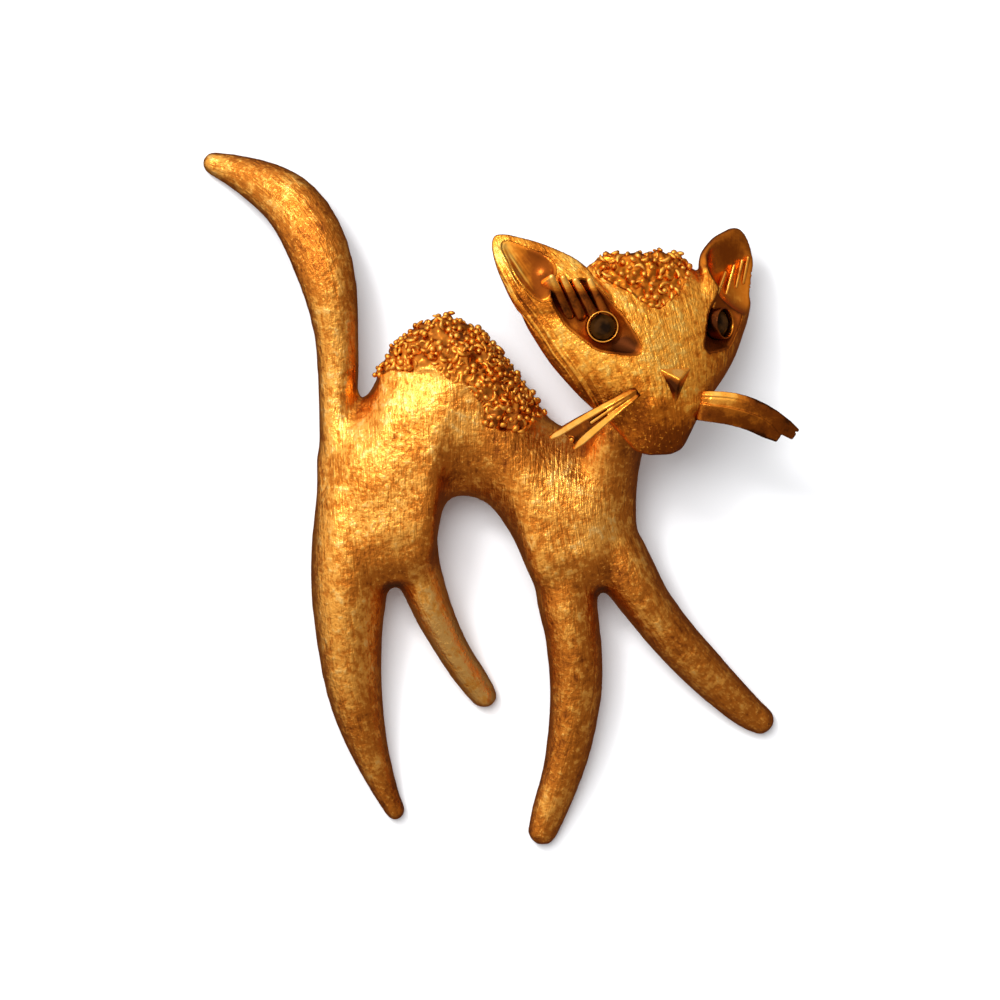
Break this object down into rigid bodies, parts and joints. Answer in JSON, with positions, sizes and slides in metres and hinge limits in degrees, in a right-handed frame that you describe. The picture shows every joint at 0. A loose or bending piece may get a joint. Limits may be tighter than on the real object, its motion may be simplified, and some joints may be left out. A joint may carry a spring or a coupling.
{
  "type": "figural cat brooch",
  "caption": "Gold-tone brooch of a cat with an arched back, brushed finish, nugget texture on hump and crown, polished whisker fans and dark round stone eyes.",
  "frame": {"origin": "on the table that the brooch lies on, under the middle of its outline", "axes": "+X to the viewer's right across the figure, +Y up the figure from paws to ears, +Z out of its face"},
  "size_m": [0.0498, 0.0581, 0.0145],
  "materials": {
    "brushed_gilt": "brushed",
    "polished_gilt": "polished",
    "smoky_stone": "faceted, dark",
    "plain_gilt": "satin"
  },
  "bodies": {
    "root": {"body": "brushed_gilt", "head": "brushed_gilt", "whisker_left": "polished_gilt", "whisker_right": "polished_gilt", "eye_cup_left": "polished_gilt", "eye_cup_right": "polished_gilt", "eye_stone_left": "smoky_stone", "eye_stone_right": "smoky_stone", "pin_bar": "plain_gilt"}
  },
  "joints": []
}
